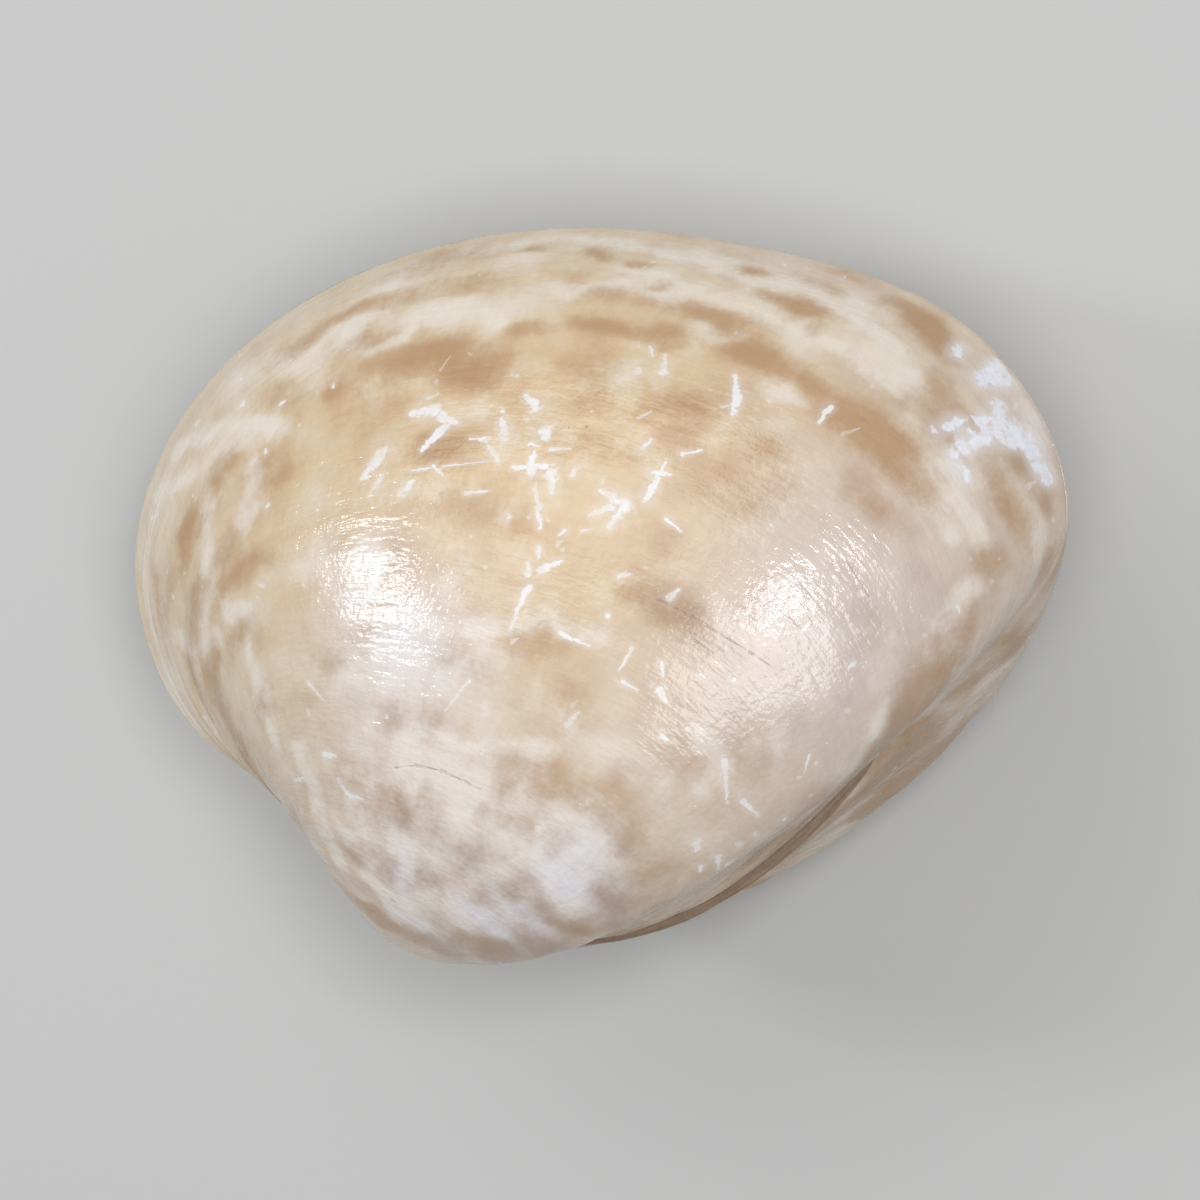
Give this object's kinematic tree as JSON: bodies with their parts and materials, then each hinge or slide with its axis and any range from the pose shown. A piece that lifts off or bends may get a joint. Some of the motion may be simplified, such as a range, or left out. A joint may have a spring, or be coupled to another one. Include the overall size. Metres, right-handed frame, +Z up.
{
  "type": "calico clam shell, closed pair",
  "caption": "Closed pair of calico clam valves joined by their ligament, lying on the left valve; a polished oval seashell for display or styling.",
  "frame": {"origin": "centre of the footprint, on the surface that the shell lies on", "axes": "+X from the front end to the back end of the shell, +Y from the hinge to the belly edge, +Z up, out through the right valve"},
  "size_m": [0.0586, 0.0438, 0.0304],
  "materials": {
    "shell_right": "polished shell, cream with soft tan checks",
    "shell_left": "polished shell, cream with soft tan checks",
    "ligament": "dry horny ligament"
  },
  "bodies": {
    "root": {"right_valve": "shell_right", "left_valve": "shell_left", "ligament": "ligament"}
  },
  "joints": []
}
